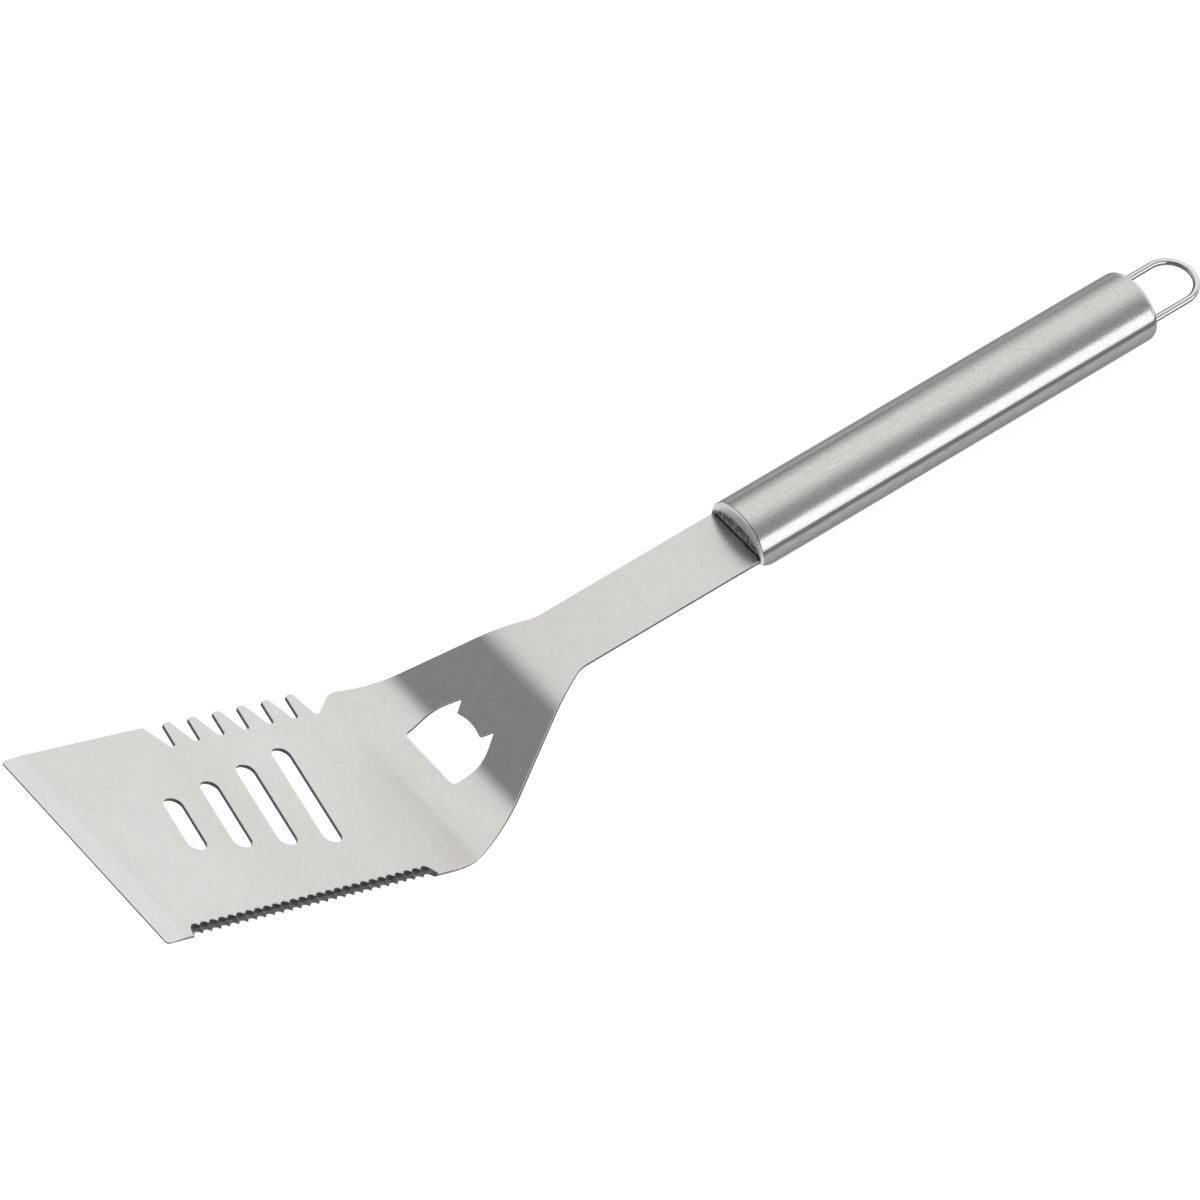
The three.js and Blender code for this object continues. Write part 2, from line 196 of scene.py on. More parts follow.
def sheet_origin():
    """Where the upper face's front edge lies in the row frame, from the CAD sheet's box."""
    low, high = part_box("blade_sheet")
    x = low.x / MM + SHEET * math.sin(BLADE_PITCH)
    z = high.z / MM + (SHEET - GRIND_EDGE) * math.cos(BLADE_PITCH)
    return x, z


ORIGIN_X, ORIGIN_Z = sheet_origin()


def bend_point(station, y, height):
    """A point of the flat sheet, bent and in the row frame. Height is above the lower face."""
    x, z, heading = profile_at(station)
    depth = SHEET - height
    return Vector((
        (ORIGIN_X + x + depth * math.sin(heading)) * MM,
        y * MM,
        (ORIGIN_Z + z - depth * math.cos(heading)) * MM,
    ))


def bend_normal(station, normal):
    """A direction in the flat sheet's frame, turned to the row frame at a station."""
    heading = profile_at(station)[2]
    along = Vector((math.cos(heading), 0, math.sin(heading)))
    out = Vector((-math.sin(heading), 0, math.cos(heading)))
    return along * normal[0] + Vector((0, normal[1], 0)) + out * normal[2]


def handle_matrix():
    """Handle frame to row frame: X along the handle from its mouth, in millimetres."""
    x, z, heading = profile_at(MOUTH)
    middle = bend_point(MOUTH, 0, SHEET / 2)
    turn = Matrix.Rotation(-heading, 4, "Y")
    return Matrix.Translation(middle) @ turn @ Matrix.Scale(MM, 4)


# ---- outlines ------------------------------------------------------------------------------------
def rounded_outline(corners, step=math.radians(7)):
    """The points of a closed outline given by its corners (x, y, radius), rounded with arcs."""
    points = []
    for i, (x, y, radius) in enumerate(corners):
        corner = Vector((x, y))
        back = (Vector(corners[i - 1][:2]) - corner).normalized()
        ahead = (Vector(corners[(i + 1) % len(corners)][:2]) - corner).normalized()
        half = back.angle(ahead) / 2
        middle = (back + ahead).normalized() * (radius / math.sin(half))
        spoke = back * (radius / math.tan(half)) - middle
        sweep = -math.copysign(math.pi - 2 * half, back.cross(ahead))
        steps = max(3, math.ceil(abs(sweep) / step))
        for k in range(steps + 1):
            turned = Matrix.Rotation(sweep * k / steps, 2) @ spoke
            points.append(corner + middle + turned)
    return points


def taper_station(half_width):
    """The station where the neck's side has a half width."""
    return NECK_FOOT - (half_width - SHANK_WIDTH / 2) / NECK_TAPER


def tooth_corners():
    """The teeth and the notch floors beside them, from the neck towards the front edge."""
    crest = BLADE_WIDTH / 2
    root = crest - TEETH["depth"]
    corners = [(NOTCH["rear"], root, TOOTH_ROUNDING["root"])]
    for i in reversed(range(TEETH["count"])):
        middle = TEETH["first"] + i * TEETH["pitch"]
        rearmost = i == TEETH["count"] - 1
        rear = middle + (REARMOST_FLANK if rearmost else TEETH["base"] / 2)
        corners += [
            (rear, root, TOOTH_ROUNDING["root"]),
            (middle + TEETH["tip"] / 2, crest, TOOTH_ROUNDING["tip"]),
            (middle - TEETH["tip"] / 2, crest, TOOTH_ROUNDING["tip"]),
            (middle - TEETH["base"] / 2, root, TOOTH_ROUNDING["root"]),
        ]
    notch_rounding = TOOTH_ROUNDING["notch"]
    corners.append((NOTCH["floor"], root, notch_rounding))
    corners.append((NOTCH["front"], crest, notch_rounding))
    return corners


def sheet_outline():
    """The flat sheet's outline, from the near front corner round to the far one."""
    edge = BLADE_WIDTH / 2
    shank = SHANK_WIDTH / 2
    tang = TANG_WIDTH / 2
    shoulder = MOUTH + CAP_RECESS - SHOULDER_GAP
    tang_end = shoulder + TANG_LENGTH
    return rounded_outline([
        (0, -edge, FRONT_CORNER),
        (taper_station(edge), -edge, NECK_START_ROUNDING["near"]),
        (NECK_FOOT, -shank, NECK_END_ROUNDING),
        (shoulder, -shank, GAP),
        (shoulder, -tang, GAP),
        (tang_end, -tang, TANG_CORNER),
        (tang_end, tang, TANG_CORNER),
        (shoulder, tang, GAP),
        (shoulder, shank, GAP),
        (NECK_FOOT, shank, NECK_END_ROUNDING),
        (taper_station(NECK_SHOULDER), NECK_SHOULDER, NECK_START_ROUNDING["far"]),
        *tooth_corners(),
        (0, edge, FRONT_CORNER),
    ])


def opener_outline():
    """The bottle opener: bulging sides, and two pointed notches beside a hollow lip."""
    mirrored = [(x, -y, radius) for x, y, radius in reversed(OPENER_SIDE)]
    return rounded_outline([*OPENER_SIDE, OPENER_HOLLOW, *mirrored])


def slot_outline(i, steps=18):
    """A drain slot with round ends; the slots get longer towards the handle."""
    middle = Vector((SLOTS["first"] + i * SLOTS["pitch"], SLOT_OFFSET))
    direction = math.pi / 2 - SLOT_SLANT
    reach = (SLOTS["length"] + i * SLOTS["growth"] - SLOTS["width"]) / 2
    points = []
    for end in (direction, direction + math.pi):
        centre = middle + Vector((math.cos(end), math.sin(end))) * reach
        for k in range(steps + 1):
            angle = end - math.pi / 2 + math.pi * k / steps
            spoke = Vector((math.cos(angle), math.sin(angle)))
            points.append(centre + spoke * SLOTS["width"] / 2)
    return points


def scallop_rise(station):
    """How far the nearest scallop's surface has risen above its lowest line."""
    last = SCALLOPS["first"] + (SCALLOPS["count"] - 1) * SCALLOPS["pitch"]
    nearest = round((station - SCALLOPS["first"]) / SCALLOPS["pitch"])
    nearest = min(max(nearest, 0), SCALLOPS["count"] - 1)
    offset = abs(station - SCALLOPS["first"] - nearest * SCALLOPS["pitch"])
    outside = station < SCALLOPS["first"] or station > last
    offset = min(offset, SCALLOPS["radius"] if outside else SCALLOPS["pitch"] / 2)
    sagitta = SCALLOPS["radius"] - math.sqrt(SCALLOPS["radius"] ** 2 - offset ** 2)
    return sagitta / math.cos(SCALLOP_SLOPE)


def serrated_y(station, height):
    """Where the serrated edge lies at a station, at a height above the lower face."""
    edge = -BLADE_WIDTH / 2
    y = edge + SCALLOPS["depth"] + (height - scallop_rise(station)) / math.tan(SCALLOP_SLOPE)
    return max(y, edge)


def serrated_stations():
    """The stations along the serrated edge, with extra ones at its two ends."""
    step = SCALLOPS["pitch"] / SCALLOP_SAMPLES
    first = SCALLOPS["first"] - SCALLOPS["radius"]
    last = SCALLOPS["first"] + (SCALLOPS["count"] - 1) * SCALLOPS["pitch"] + SCALLOPS["radius"]
    return np.arange(first, last + step / 2, step)


def serrate(outline):
    """Puts the serrated stations into the outline's near edge, between its two corners."""
    edge = -BLADE_WIDTH / 2
    stations = serrated_stations()
    start = next(
        i for i, p in enumerate(outline)
        if p.y < edge + 1e-6 and outline[(i + 1) % len(outline)].x > stations[-1]
    )
    added = [Vector((s, edge)) for s in stations]
    return outline[:start + 1] + added + outline[start + 1:]


# ---- plates: flat outlines with rounded edges ----------------------------------------------------
def signed_area(points):
    """The area inside an outline, positive when it runs counter-clockwise."""
    return sum(a.cross(b) for a, b in zip(points, points[1:] + points[:1])) / 2


def inward_normals(points, hole):
    """The direction into the plate at each point of an outline."""
    side = 1 if (signed_area(points) > 0) != hole else -1
    normals = []
    for i, point in enumerate(points):
        back = point - points[i - 1]
        ahead = points[(i + 1) % len(points)] - point
        along = back.normalized() + ahead.normalized()
        normals.append(Vector((-along.y, along.x)).normalized() * side)
    return normals


def edge_steps(thickness, rounding, segments=3):
    """(height, inset) up the rounded edge of a plate."""
    angles = [math.pi / 2 * k / segments for k in range(segments + 1)]
    lower = [(rounding * (1 - math.sin(a)), rounding * (1 - math.cos(a))) for a in angles]
    upper = [(thickness - height, inset) for height, inset in lower]
    return lower[::-1] + upper


def join_rings(bm, lower, upper, material_index=0):
    """A band of faces between two closed rings of vertices."""
    for i in range(len(lower)):
        j = (i + 1) % len(lower)
        face = bm.faces.new((lower[i], lower[j], upper[j], upper[i]))
        face.material_index = material_index


def edge_rings(bm, points, inward, steps, edge_at):
    """Rings of vertices up a plate's rounded edge."""
    rings = []
    for height, inset in steps:
        ring = []
        for point, normal in zip(points, inward):
            moved = edge_at(point, height) if edge_at else point
            ring.append(bm.verts.new((*(moved + normal * inset), height)))
        rings.append(ring)
    return rings


def plate(outlines, thickness, rounding, edge_at=None):
    """A bmesh of a flat plate with rounded edges. The first outline is outer, the rest holes.

    edge_at(point, height) may move an outline's point at a height, as a serrated edge does.
    The straight wall between the roundings has material CUT.
    """
    bm = bmesh.new()
    steps = edge_steps(thickness, rounding)
    middle = len(steps) // 2 - 1
    caps = {0: [], len(steps) - 1: []}
    for number, points in enumerate(outlines):
        inward = inward_normals(points, number > 0)
        rings = edge_rings(bm, points, inward, steps, edge_at)
        for level in range(len(steps) - 1):
            material_index = CUT if level == middle else 0
            join_rings(bm, rings[level], rings[level + 1], material_index)
        for level in caps:
            ring = rings[level]
            pairs = zip(ring, ring[1:] + ring[:1])
            caps[level] += [bm.edges.get(pair) for pair in pairs]
    for edges in caps.values():
        bmesh.ops.triangle_fill(bm, use_beauty=True, edges=edges)
    bmesh.ops.recalc_face_normals(bm, faces=bm.faces[:])
    return bm


def finished_mesh(bm, name):
    """A smooth-shaded object from a bmesh, with its sharp edges kept."""
    mesh = bpy.data.meshes.new(name)
    bm.to_mesh(mesh)
    bm.free()
    mesh.shade_smooth()
    mesh.set_sharp_from_angle(angle=SHARP)
    piece = bpy.data.objects.new(name, mesh)
    bpy.context.scene.collection.objects.link(piece)
    return piece


# ---- the sheet -----------------------------------------------------------------------------------
def crease_stations():
    """Where the flat sheet is divided: evenly along both bends, and behind the grind."""
    stations = [GRIND_WIDTH]
    start = 0
    for length, turn in STRETCHES:
        if turn:
            count = math.ceil(length / BEND_STEP)
            stations += [start + length * k / count for k in range(count + 1)]
        start += length
    return stations


def divide(bm, stations):
    """Cuts the flat sheet across at each station."""
    for station in stations:
        geometry = bm.verts[:] + bm.edges[:] + bm.faces[:]
        bmesh.ops.bisect_plane(
            bm, geom=geometry, dist=1e-5, plane_co=(station, 0, 0), plane_no=(1, 0, 0)
        )


def ground_height(station, height):
    """The grind thins the sheet towards its front edge."""
    share = min(station / GRIND_WIDTH, 1)
    return height * (GRIND_EDGE + (SHEET - GRIND_EDGE) * share) / SHEET


def serrated_point(point, height):
    """A point of the outline at a height, moved if it is on the serrated edge."""
    on_edge = point.y < -BLADE_WIDTH / 2 + 1e-6
    stations = serrated_stations()
    if not on_edge or not stations[0] <= point.x <= stations[-1]:
        return point
    return Vector((point.x, serrated_y(point.x, height)))


def flat_normal(face):
    """The exact flat-frame normal of a face of the plate's two broad sides, else None."""
    if abs(face.normal.z) < 0.999:
        return None
    middle = face.calc_center_median()
    if face.normal.z > 0 and middle.x < GRIND_WIDTH:
        slope = math.atan((SHEET - GRIND_EDGE) / GRIND_WIDTH)
        return (-math.sin(slope), 0, math.cos(slope))
    return (0, 0, 1 if face.normal.z > 0 else -1)


def sheet_piece():
    """The blade, neck, shank and tang as one bent sheet."""
    outlines = [serrate(sheet_outline()), opener_outline()]
    outlines += [slot_outline(i) for i in range(SLOTS["count"])]
    bm = plate(outlines, SHEET, EDGE_ROUNDING, serrated_point)
    divide(bm, crease_stations())
    bm.faces.ensure_lookup_table()
    bm.normal_update()
    normals = []
    for face in bm.faces:
        exact = flat_normal(face)
        if exact and exact[0]:
            face.material_index = GROUND
        for vert in face.verts:
            normals.append(bend_normal(vert.co.x, exact) if exact else Vector())
    for vert in bm.verts:
        station, y, height = vert.co
        vert.co = bend_point(station, y, ground_height(station, height))
    piece = finished_mesh(bm, "sheet")
    piece.data.normals_split_custom_set([tuple(n) for n in normals])
    return piece


# ---- turned, swept and capped pieces -------------------------------------------------------------
def quad_grid(name, rings, matrix, closed_rows=False, capped=False):
    """A mesh from rings of points, joined row to row. closed_rows also joins last to first."""
    bm = bmesh.new()
    rows = [[bm.verts.new(matrix @ Vector(p)) for p in ring] for ring in rings]
    pairs = list(zip(rows, rows[1:]))
    if closed_rows:
        pairs.append((rows[-1], rows[0]))
    for lower, upper in pairs:
        join_rings(bm, lower, upper)
    if capped:
        bm.faces.new(rows[0])
        bm.faces.new(rows[-1])
    bmesh.ops.recalc_face_normals(bm, faces=bm.faces[:])
    return finished_mesh(bm, name)


def oval_ring(across, x, up=None, down=None):
    """One ring of an oval section, of the handle's own shape unless its half heights are given."""
    up = up or across * HANDLE_HEIGHT / HANDLE_WIDTH
    down = down or up
    ring = []
    for i in range(HANDLE_SIDES):
        angle = 2 * math.pi * i / HANDLE_SIDES
        height = up if math.sin(angle) > 0 else down
        ring.append((x, across * math.cos(angle), height * math.sin(angle)))
    return ring


def quarter():
    """Angles from 0 to 90 degrees, for a rounding."""
    return np.linspace(0, math.pi / 2, 13)


def lip_ring(x, full, wall):
    """(half width, x, half height up, half height down) of the tube near its mouth."""
    rolled = math.sqrt(1 - (1 - min(x / LIP["roll"], 1)) ** 2)
    sloped = math.sin(math.pi / 2 * min(x / LIP["slope"], 1))
    return (
        HANDLE_WIDTH / 2 - HANDLE_WALL + wall * rolled,
        x,
        LIP["up"] + (full - LIP["up"]) * rolled,
        LIP["down"] + (full - LIP["down"]) * sloped,
    )


def handle_tube():
    """The oval tube, whose upper half rolls in and lower half slopes up to a flatter mouth."""
    outer = HANDLE_WIDTH / 2
    inner = outer - HANDLE_WALL
    inner_height = inner * HANDLE_HEIGHT / HANDLE_WIDTH
    end = HANDLE_LENGTH - REAR_CAP_LENGTH - SEAM
    stations = [LIP["roll"] * (1 - math.cos(a)) for a in quarter()]
    stations += list(np.linspace(LIP["roll"], LIP["slope"], 12))[1:]
    outside = [lip_ring(x, HANDLE_HEIGHT / 2, HANDLE_WALL) for x in stations]
    outside += [(outer, x) for x in np.linspace(LIP["slope"] + 5, end, 12)]
    inside = []
    for x in stations:
        half_width, _, up, down = lip_ring(x, inner_height, 0)
        inside.append((half_width, x + LIP["edge"], up, down))
    profile = [*outside, (inner, end), *reversed(inside)]
    rings = [oval_ring(*station) for station in profile]
    tube = quad_grid("handle_tube_skin", rings, handle_matrix(), closed_rows=True)
    to_handle = handle_matrix().inverted()
    for face in tube.data.polygons:
        if (to_handle @ face.center).x < LIP["roll"] / 2:
            face.material_index = LIP_FACE
    return tube


def rear_cap():
    """A pressed cup, flush with the tube, with a hole for each leg of the loop."""
    outer = HANDLE_WIDTH / 2
    start = HANDLE_LENGTH - REAR_CAP_LENGTH
    inner_rounding = REAR_ROUNDING - HANDLE_WALL

    def arc(radius, x, rounding):
        return [
            (radius - rounding * (1 - math.cos(a)), x - rounding * (1 - math.sin(a)))
            for a in quarter()
        ]

    inside = arc(outer - HANDLE_WALL, HANDLE_LENGTH - HANDLE_WALL, inner_rounding)
    outside = arc(outer, HANDLE_LENGTH, REAR_ROUNDING)
    profile = [*reversed(inside), (outer - HANDLE_WALL, start), (outer, start), *outside]
    rings = [oval_ring(radius, x) for radius, x in profile]
    cap = quad_grid("rear_cap_skin", rings, handle_matrix(), capped=True)
    return drill(cap, [-LOOP_RADIUS, LOOP_RADIUS])


def drill(cap, offsets):
    """Cuts the holes for the loop's legs through the cap."""
    matrix = handle_matrix()
    for y in offsets:
        rings = []
        for x in (HANDLE_LENGTH - REAR_CAP_LENGTH, HANDLE_LENGTH + REAR_CAP_LENGTH):
            rings.append(wire_ring((x, y, 0), (1, 0, 0), LEG_HOLE / 2, 40))
        cutter = quad_grid("cutter", rings, matrix, capped=True)
        modifier = cap.modifiers.new("hole", "BOOLEAN")
        modifier.operation = "DIFFERENCE"
        modifier.solver = "EXACT"
        modifier.object = cutter
        apply_modifiers(cap)
        bpy.data.objects.remove(cutter)
    cap.data.shade_smooth()
    cap.data.set_sharp_from_angle(angle=SHARP)
    return cap


def apply_modifiers(piece):
    """Replaces a piece's mesh with its evaluated one."""
    graph = bpy.context.evaluated_depsgraph_get()
    mesh = bpy.data.meshes.new_from_object(piece.evaluated_get(graph))
    piece.modifiers.clear()
    piece.data = mesh


def front_cap():
    """The plate that closes the mouth behind its lip, with a slot for the tang."""
    across = HANDLE_WIDTH / 2 - HANDLE_WALL - GAP / 2
    ring = oval_ring(across, 0, LIP["up"] - GAP / 2, LIP["down"] - GAP / 2)
    oval = [Vector((-z, y)) for _, y, z in ring]
    slot_x = SHEET / 2 + CAP_SLOT_GAP
    slot_y = TANG_WIDTH / 2 + GAP
    corners = [(-slot_x, -slot_y), (slot_x, -slot_y), (slot_x, slot_y), (-slot_x, slot_y)]
    slot = rounded_outline([(x, y, GAP) for x, y in corners])
    bm = plate([oval, slot], CAP_THICKNESS, CAP_ROUNDING)
    upright = Matrix(((0, 0, 1, CAP_RECESS), (0, 1, 0, 0), (-1, 0, 0, 0), (0, 0, 0, 1)))
    bmesh.ops.transform(bm, matrix=handle_matrix() @ upright, verts=bm.verts[:])
    bmesh.ops.recalc_face_normals(bm, faces=bm.faces[:])
    return finished_mesh(bm, "front_cap_plate")


def wire_ring(centre, heading, radius, sides):
    """A ring of points around a line in the handle's XY plane."""
    heading = Vector(heading).normalized()
    side = Vector((-heading.y, heading.x, 0))
    up = Vector((0, 0, 1))
    ring = []
    for i in range(sides):
        angle = 2 * math.pi * i / sides
        spoke = side * math.cos(angle) + up * math.sin(angle)
        ring.append(Vector(centre) + spoke * radius)
    return ring


def loop_path(bend_steps=72):
    """(centre, heading) down one leg, round the half circle and up the other leg."""
    start = HANDLE_LENGTH - LOOP_FOOT + WIRE_END
    knee = HANDLE_LENGTH + LOOP_LEG
    path = [((start, LOOP_RADIUS, 0), (1, 0, 0))]
    for k in range(bend_steps + 1):
        turn = math.pi * k / bend_steps
        centre = (knee + LOOP_RADIUS * math.sin(turn), LOOP_RADIUS * math.cos(turn), 0)
        path.append((centre, (math.cos(turn), -math.sin(turn), 0)))
    path.append(((start, -LOOP_RADIUS, 0), (-1, 0, 0)))
    return path


def wire_end(centre, heading):
    """Two smaller rings that blunt an end of the wire, the smallest first."""
    rings = []
    for share in (0.7, 0.35):
        back = WIRE_END * (1 + share) / 2
        radius = WIRE / 2 * (1 - 0.28 * share)
        rings.append(wire_ring((centre[0] - back, *centre[1:]), heading, radius, WIRE_SIDES))
    return rings


def hanging_loop():
    """The wire, swept along its path, with a blunted end inside the handle on each leg."""
    path = loop_path()
    rings = [wire_ring(centre, heading, WIRE / 2, WIRE_SIDES) for centre, heading in path]
    rings = [*wire_end(*path[0]), *rings, *reversed(wire_end(*path[-1]))]
    return quad_grid("hanging_loop_wire", rings, handle_matrix(), capped=True)


# ---- node helpers --------------------------------------------------------------------------------
def new_material(name):
    """(material, nodes, links, shader) of a fresh metal material."""
    material = bpy.data.materials.new(name)
    material.use_nodes = True
    tree = material.node_tree
    shader = next(n for n in tree.nodes if n.type == "BSDF_PRINCIPLED")
    shader.inputs["Metallic"].default_value = 1
    return material, tree.nodes, tree.links, shader


def object_coordinates(nodes, links, stretch=(1, 1, 1)):
    """Object coordinates. A scale below 1 stretches a texture along that axis."""
    source = nodes.new("ShaderNodeTexCoord")
    mapping = nodes.new("ShaderNodeMapping")
    mapping.inputs["Scale"].default_value = stretch
    links.new(source.outputs["Object"], mapping.inputs["Vector"])
    return mapping.outputs["Vector"]


def noise(nodes, links, vector, scale, detail, roughness):
    texture = nodes.new("ShaderNodeTexNoise")
    texture.inputs["Scale"].default_value = scale
    texture.inputs["Detail"].default_value = detail
    texture.inputs["Roughness"].default_value = roughness
    links.new(vector, texture.inputs["Vector"])
    return texture.outputs["Fac"]


def ramp(nodes, links, factor, low, high, start=0.0, end=1.0):
    """Maps a factor from start..end to a range of numbers or colours."""
    node = nodes.new("ShaderNodeValToRGB")
    node.color_ramp.elements[0].position = start
    node.color_ramp.elements[1].position = end
    node.color_ramp.elements[0].color = grey(low)
    node.color_ramp.elements[1].color = grey(high)
    links.new(factor, node.inputs["Fac"])
    return node.outputs["Color"]


def grey(value):
    """A number or an RGB colour as RGBA."""
    if isinstance(value, (int, float)):
        value = (value, value, value)
    return (*value, 1)


def add_bump(nodes, links, shader, heights):
    """Chains bumps (height socket, strength, distance) into the shader's normal."""
    normal = None
    for height, strength, distance in heights:
        bump = nodes.new("ShaderNodeBump")
        bump.inputs["Strength"].default_value = strength
        bump.inputs["Distance"].default_value = distance
        links.new(height, bump.inputs["Height"])
        if normal:
            links.new(normal, bump.inputs["Normal"])
        normal = bump.outputs["Normal"]
    links.new(normal, shader.inputs["Normal"])


def mix_colors(nodes, links, factor, a, b):
    """Mixes two colour sockets by a factor socket."""
    node = nodes.new("ShaderNodeMix")
    node.data_type = "RGBA"
    links.new(factor, node.inputs[0])
    links.new(a, node.inputs[6])
    links.new(b, node.inputs[7])
    return node.outputs[2]


def multiply(nodes, links, a, b):
    """The product of two number sockets."""
    node = nodes.new("ShaderNodeMath")
    node.operation = "MULTIPLY"
    links.new(a, node.inputs[0])
    links.new(b, node.inputs[1])
    return node.outputs["Value"]


def fade(nodes, links, value, bright, dark):
    """A soft step from 1 where the value is bright to 0 where it is dark."""
    node = nodes.new("ShaderNodeMapRange")
    node.interpolation_type = "SMOOTHSTEP"
    node.inputs["From Min"].default_value = dark
    node.inputs["From Max"].default_value = bright
    links.new(value, node.inputs["Value"])
    return node.outputs["Result"]


def edge_mask(nodes, links, radius):
    """White where a face runs into an edge within the radius, black on the open surface."""
    bevel = nodes.new("ShaderNodeBevel")
    bevel.samples = 4
    bevel.inputs["Radius"].default_value = radius
    geometry = nodes.new("ShaderNodeNewGeometry")
    dot = nodes.new("ShaderNodeVectorMath")
    dot.operation = "DOT_PRODUCT"
    links.new(bevel.outputs["Normal"], dot.inputs[0])
    links.new(geometry.outputs["Normal"], dot.inputs[1])
    return ramp(nodes, links, dot.outputs["Value"], 1.0, 0.0, 0.75, 0.995)


def painted_shade_bands(nodes, links, base, shade, line):
    """Painted shade by the normal: the base colour on top, a painted shade on the far side and
    underneath, and a painted dark reflection line between.
    """
    source = nodes.new("ShaderNodeTexCoord")
    axes = nodes.new("ShaderNodeSeparateXYZ")
    links.new(source.outputs["Normal"], axes.inputs["Vector"])
    near = fade(nodes, links, axes.outputs["Y"], 0.3, 0.62)
    above = fade(nodes, links, axes.outputs["Z"], 0.5, 0.42)
    beneath = fade(nodes, links, axes.outputs["Z"], 0.26, 0.34)
    lower = mix_colors(nodes, links, beneath, line, shade)
    upper = mix_colors(nodes, links, near, shade, base)
    return mix_colors(nodes, links, above, lower, upper)


# ---- materials -----------------------------------------------------------------------------------
def satin_steel(name, dark, bright):
    """The sheet: an even satin grain along the sheet, faint clouding and specks."""
    material, nodes, links, shader = new_material(name)
    grain_vector = object_coordinates(nodes, links, (0.35, 1, 1))
    grain = noise(nodes, links, grain_vector, 5200, 3, 0.6)
    cloud_vector = object_coordinates(nodes, links, (1, 0.45, 1))
    cloud = noise(nodes, links, cloud_vector, 26, 3, 0.55)
    fine = noise(nodes, links, cloud_vector, 900, 2, 0.5)
    tone = ramp(nodes, links, cloud, dark, bright, 0.3, 0.7)
    speck = ramp(nodes, links, fine, dark, bright, 0.3, 0.7)
    half = nodes.new("ShaderNodeValue")
    half.outputs[0].default_value = 0.5
    base = mix_colors(nodes, links, half.outputs[0], tone, speck)
    lighter_edge = edge_mask(nodes, links, 0.0006)
    bare = ramp(nodes, links, grain, (0.9, 0.9, 0.9), (0.97, 0.97, 0.97))
    links.new(mix_colors(nodes, links, lighter_edge, base, bare), shader.inputs["Base Color"])
    links.new(ramp(nodes, links, grain, 0.24, 0.34, 0.3, 0.7), shader.inputs["Roughness"])
    add_bump(nodes, links, shader, [(grain, 0.06, 0.00004), (fine, 0.05, 0.00006)])
    return material


def brushed_steel():
    """The handle: fine lines along its length, with painted shade and a painted dark reflection
    line in bands around it.
    """
    material, nodes, links, shader = new_material("brushed_steel")
    line_vector = object_coordinates(nodes, links, (0.06, 1, 1))
    lines = noise(nodes, links, line_vector, 3200, 4, 0.65)
    grain_vector = object_coordinates(nodes, links, (0.5, 1, 1))
    grain = noise(nodes, links, grain_vector, 2400, 3, 0.6)
    broad_vector = object_coordinates(nodes, links, (0.35, 1, 0.6))
    broad = noise(nodes, links, broad_vector, 38, 2, 0.5)
    fine_tone = ramp(nodes, links, lines, (0.62, 0.605, 0.588), (0.83, 0.818, 0.802), 0.3, 0.7)
    grain_tone = ramp(nodes, links, grain, (0.57, 0.558, 0.542), (0.88, 0.87, 0.858), 0.3, 0.7)
    base = mix_colors(nodes, links, broad, fine_tone, grain_tone)
    # painted shade for the far side and underneath, and a painted dark reflection line between the
    # top and the underneath
    shade = ramp(nodes, links, lines, (0.23, 0.225, 0.22), (0.40, 0.394, 0.386), 0.3, 0.7)
    line = ramp(nodes, links, lines, (0.10, 0.098, 0.095), (0.17, 0.166, 0.162), 0.3, 0.7)
    bands = painted_shade_bands(nodes, links, base, shade, line)
    links.new(bands, shader.inputs["Base Color"])
    links.new(ramp(nodes, links, broad, 0.17, 0.27, 0.3, 0.7), shader.inputs["Roughness"])
    shader.inputs["Specular Tint"].default_value = (0.5, 0.5, 0.5, 1)
    add_bump(nodes, links, shader, [(lines, 0.08, 0.00003), (grain, 0.08, 0.00004)])
    return material


def lip_steel():
    """The handle's lip: bead-blasted bright steel with fine pits."""
    material, nodes, links, shader = new_material("lip_steel")
    vector = object_coordinates(nodes, links)
    pits = noise(nodes, links, vector, 2600, 3, 0.6)
    base = ramp(nodes, links, pits, (0.58, 0.575, 0.57), (0.86, 0.86, 0.855), 0.3, 0.7)
    links.new(base, shader.inputs["Base Color"])
    links.new(ramp(nodes, links, pits, 0.5, 0.62, 0.3, 0.7), shader.inputs["Roughness"])
    add_bump(nodes, links, shader, [(pits, 0.1, 0.00005)])
    return material


def dull_steel():
    """The front cap: coarse, dark and grainy."""
    material, nodes, links, shader = new_material("dull_steel")
    vector = object_coordinates(nodes, links, (1, 1, 0.5))
    grain = noise(nodes, links, vector, 1250, 4, 0.8)
    base = ramp(nodes, links, grain, (0.04, 0.039, 0.037), (0.66, 0.65, 0.63), 0.42, 0.62)
    links.new(base, shader.inputs["Base Color"])
    links.new(ramp(nodes, links, grain, 0.36, 0.52, 0.3, 0.7), shader.inputs["Roughness"])
    add_bump(nodes, links, shader, [(grain, 0.4, 0.0001)])
    return material


def bright_chrome():
    """The hanging loop: polished wire with faint drawing lines and wear, with painted shade and a
    painted dark reflection line in bands around it.
    """
    material, nodes, links, shader = new_material("bright_chrome")
    vector = object_coordinates(nodes, links)
    marks = noise(nodes, links, vector, 1400, 3, 0.6)
    base = ramp(nodes, links, marks, (0.80, 0.80, 0.81), (0.93, 0.93, 0.94), 0.3, 0.7)
    # painted shade for the wire's far side and underneath, and a painted dark reflection line
    # between the top and the underneath
    shade = ramp(nodes, links, marks, (0.14, 0.14, 0.145), (0.24, 0.24, 0.245), 0.3, 0.7)
    line = ramp(nodes, links, marks, (0.05, 0.05, 0.052), (0.09, 0.09, 0.093), 0.3, 0.7)
    bands = painted_shade_bands(nodes, links, base, shade, line)
    links.new(bands, shader.inputs["Base Color"])
    links.new(ramp(nodes, links, marks, 0.04, 0.11, 0.35, 0.75), shader.inputs["Roughness"])
    shader.inputs["Specular Tint"].default_value = (0.1, 0.1, 0.1, 1)
    add_bump(nodes, links, shader, [(marks, 0.03, 0.00004)])
    return material


